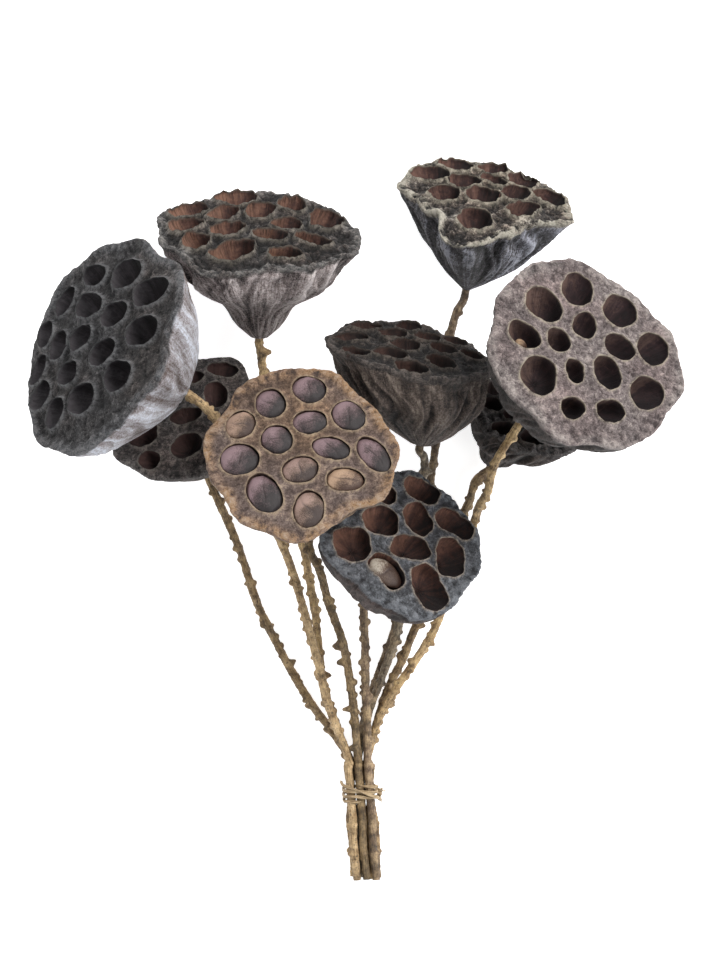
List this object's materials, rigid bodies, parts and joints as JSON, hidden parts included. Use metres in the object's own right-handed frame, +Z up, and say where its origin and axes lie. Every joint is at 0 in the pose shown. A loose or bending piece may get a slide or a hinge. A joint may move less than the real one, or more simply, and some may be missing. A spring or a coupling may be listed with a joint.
{
  "type": "dried lotus pod",
  "caption": "Bunch of dried lotus seed pods with pitted faces on long knobbly stems, bound low with straw and lying flat with the faces up.",
  "frame": {"origin": "under the middle of the bunch's box, on the surface that it lies on", "axes": "+Y from the cut stem ends to the heads, +X to the right seen from above, +Z up off the surface"},
  "size_m": [0.3128, 0.359, 0.1387],
  "materials": {
    "dark_head": "dry, dark grey-brown and matt",
    "brown_head": "dry, brown and matt",
    "tan_head": "dry, mottled tan and matt",
    "grey_head": "dry, grey and matt",
    "slate_head": "dry, slate grey and matt",
    "stem": "dry, tan and knobbly",
    "seed": "dark purple-brown, faintly glossy",
    "straw": "pale straw, satin"
  },
  "bodies": {
    "root": {"pod_a_head": "dark_head", "pod_a_stem": "stem", "pod_b_head": "brown_head", "pod_b_stem": "stem", "pod_c_head": "dark_head", "pod_c_stem": "stem", "pod_d_head": "tan_head", "pod_d_seed_01": "seed", "pod_d_seed_02": "seed", "pod_d_seed_03": "seed", "pod_d_seed_04": "seed", "pod_d_seed_05": "seed", "pod_d_seed_06": "seed", "pod_d_seed_07": "seed", "pod_d_seed_08": "seed", "pod_d_seed_09": "seed", "pod_d_seed_10": "seed", "pod_d_seed_11": "seed", "pod_d_seed_12": "seed", "pod_d_seed_13": "seed", "pod_d_stem": "stem", "pod_e_head": "dark_head", "pod_e_stem": "stem", "pod_f_head": "grey_head", "pod_f_stem": "stem", "pod_g_head": "grey_head", "pod_g_seed_04": "seed", "pod_g_stem": "stem", "pod_h_head": "dark_head", "pod_h_stem": "stem", "pod_i_head": "slate_head", "pod_i_seed_08": "seed", "pod_i_stem": "stem", "straw_tie": "straw"}
  },
  "joints": []
}
